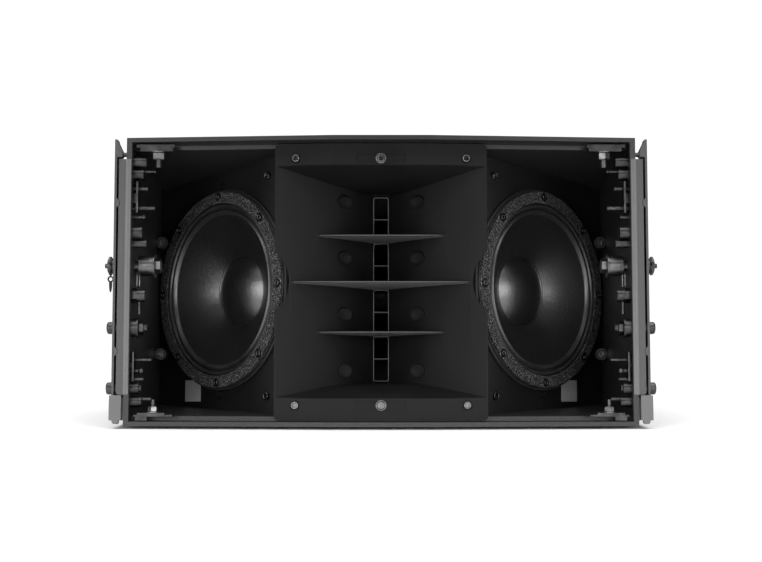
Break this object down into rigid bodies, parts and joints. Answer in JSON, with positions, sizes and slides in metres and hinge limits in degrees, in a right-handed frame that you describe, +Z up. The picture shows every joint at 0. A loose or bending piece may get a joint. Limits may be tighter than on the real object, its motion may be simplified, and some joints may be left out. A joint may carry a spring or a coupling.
{
  "type": "line array speaker",
  "caption": "Compact wedge-shaped line array loudspeaker element with tilted woofers either side of a slotted horn, side link rigging and a rear arm.",
  "frame": {"origin": "middle of the footprint, on the surface it stands on", "axes": "+Z up, the front faces -Y and leans back by the wedge angle, +X to the right seen from the front"},
  "size_m": [0.5804, 0.4612, 0.302],
  "materials": {
    "cabinet_paint": "black textured paint on plywood",
    "baffle_paint": "black satin paint on plywood",
    "horn_plastic": "satin black moulded plastic",
    "frame_paint": "cast, black powder coat",
    "gasket_foam": "speckled grey foam rubber",
    "surround_cloth": "treated black cloth",
    "cone_paper": "coated black pressed paper",
    "coil_copper": "enamelled copper wire on a former",
    "spider_cloth": "varnished cloth",
    "motor_steel": "black plated steel and ferrite",
    "zinc_steel": "bright zinc",
    "black_screw": "black oxide",
    "dark_spacer": "dark burnished steel",
    "rigging_paint": "black powder coat",
    "grey_bracket": "dull grey zinc",
    "plunger_steel": "satin turned steel",
    "spring_steel": "bright spring wire",
    "foot_rubber": "black rubber",
    "light_plate": "light grey blank plate",
    "input_metal": "black anodised",
    "socket_plastic": "black moulded plastic",
    "board_green": "circuit board",
    "component_shell": "copper windings and capacitor cases",
    "wire_sheath": "flexible insulation",
    "diaphragm_metal": "thin metal dome"
  },
  "bodies": {
    "cabinet": {"top_panel": "cabinet_paint", "bottom_panel": "cabinet_paint", "horn_body": "horn_plastic", "horn_screws": "black_screw", "throat_manifold": "horn_plastic", "hf_driver_body": "motor_steel", "hf_rear_cover": "motor_steel", "woofer_basket_right": "frame_paint", "woofer_basket_left": "frame_paint", "woofer_gasket_right": "gasket_foam", "woofer_gasket_left": "gasket_foam", "woofer_surround_right": "surround_cloth", "woofer_surround_left": "surround_cloth", "spider_right": "spider_cloth", "spider_left": "spider_cloth", "woofer_motor_right": "motor_steel", "woofer_motor_left": "motor_steel", "woofer_frame_screws": "black_screw", "baffle_screws": "black_screw", "woofer_baffle_right": "baffle_paint", "woofer_baffle_left": "baffle_paint", "corner_plates": "light_plate", "channel_cover_right": "rigging_paint", "channel_cover_left": "rigging_paint", "plunger_barrel_right": "plunger_steel", "plunger_barrel_left": "plunger_steel", "plunger_spring_right": "spring_steel", "plunger_spring_left": "spring_steel", "wall_bolts": "dark_spacer", "backing_plates": "dark_spacer", "wall_spacers": "dark_spacer", "rigging_plate_right": "rigging_paint", "rigging_plate_left": "rigging_paint", "side_panel_right": "cabinet_paint", "side_panel_left": "cabinet_paint", "lower_brackets": "grey_bracket", "corner_brackets": "dark_spacer", "rear_pivot_bracket": "rigging_paint", "rear_pivot_pin": "zinc_steel", "rear_lower_lug": "rigging_paint", "rear_handles": "rigging_paint", "input_plate": "input_metal", "input_sockets": "socket_plastic", "back_panel": "cabinet_paint", "crossover_board": "board_green", "crossover_parts": "component_shell", "internal_wiring": "wire_sheath", "rubber_feet": "foot_rubber"},
    "cone_left": {"woofer_cone_left": "cone_paper", "dust_cap_left": "cone_paper", "voice_coil_left": "coil_copper"},
    "pin_left": {"pull_pin_left": "dark_spacer"},
    "link_left": {"front_link_left": "rigging_paint"},
    "cone_right": {"woofer_cone_right": "cone_paper", "dust_cap_right": "cone_paper", "voice_coil_right": "coil_copper"},
    "pin_right": {"pull_pin_right": "dark_spacer"},
    "link_right": {"front_link_right": "rigging_paint"},
    "arm": {"rear_arm": "rigging_paint"},
    "diaphragm": {"hf_diaphragm": "diaphragm_metal"}
  },
  "joints": [
    {"name": "cone_travel_left", "type": "slide", "parent": "cabinet", "child": "cone_left", "axis": [-0.7145, -0.6976, 0.0537], "range_m": [-0.006, 0.006], "stiffness_N_per_m": 2500, "deforming": ["woofer_surround_left", "spider_left"]},
    {"name": "pull_pin_slide_left", "type": "slide", "parent": "cabinet", "child": "pin_left", "axis": [-1, 0, 0], "range_m": [0, 0.007], "stiffness_N_per_m": 1500, "springref_m": -0.006, "deforming": ["plunger_spring_left"]},
    {"name": "front_link_slide_left", "type": "slide", "parent": "cabinet", "child": "link_left", "axis": [0, 0.0767, 0.9971], "range_m": [0, 0.06]},
    {"name": "cone_travel_right", "type": "slide", "parent": "cabinet", "child": "cone_right", "axis": [0.7145, -0.6976, 0.0537], "range_m": [-0.006, 0.006], "stiffness_N_per_m": 2500, "deforming": ["woofer_surround_right", "spider_right"]},
    {"name": "pull_pin_slide_right", "type": "slide", "parent": "cabinet", "child": "pin_right", "axis": [1, 0, 0], "range_m": [0, 0.007], "stiffness_N_per_m": 1500, "springref_m": -0.006, "deforming": ["plunger_spring_right"]},
    {"name": "front_link_slide_right", "type": "slide", "parent": "cabinet", "child": "link_right", "axis": [0, 0.0767, 0.9971], "range_m": [0, 0.06]},
    {"name": "rear_arm_swing", "type": "hinge", "parent": "cabinet", "child": "arm", "pos_m": [0, 0.21761, 0.19713], "axis": [1, 0, 0], "range_deg": [0, 150]},
    {"name": "diaphragm_travel", "type": "slide", "parent": "cabinet", "child": "diaphragm", "axis": [0, -0.9971, 0.0767], "range_m": [-0.0003, 0.0003], "stiffness_N_per_m": 4000}
  ]
}
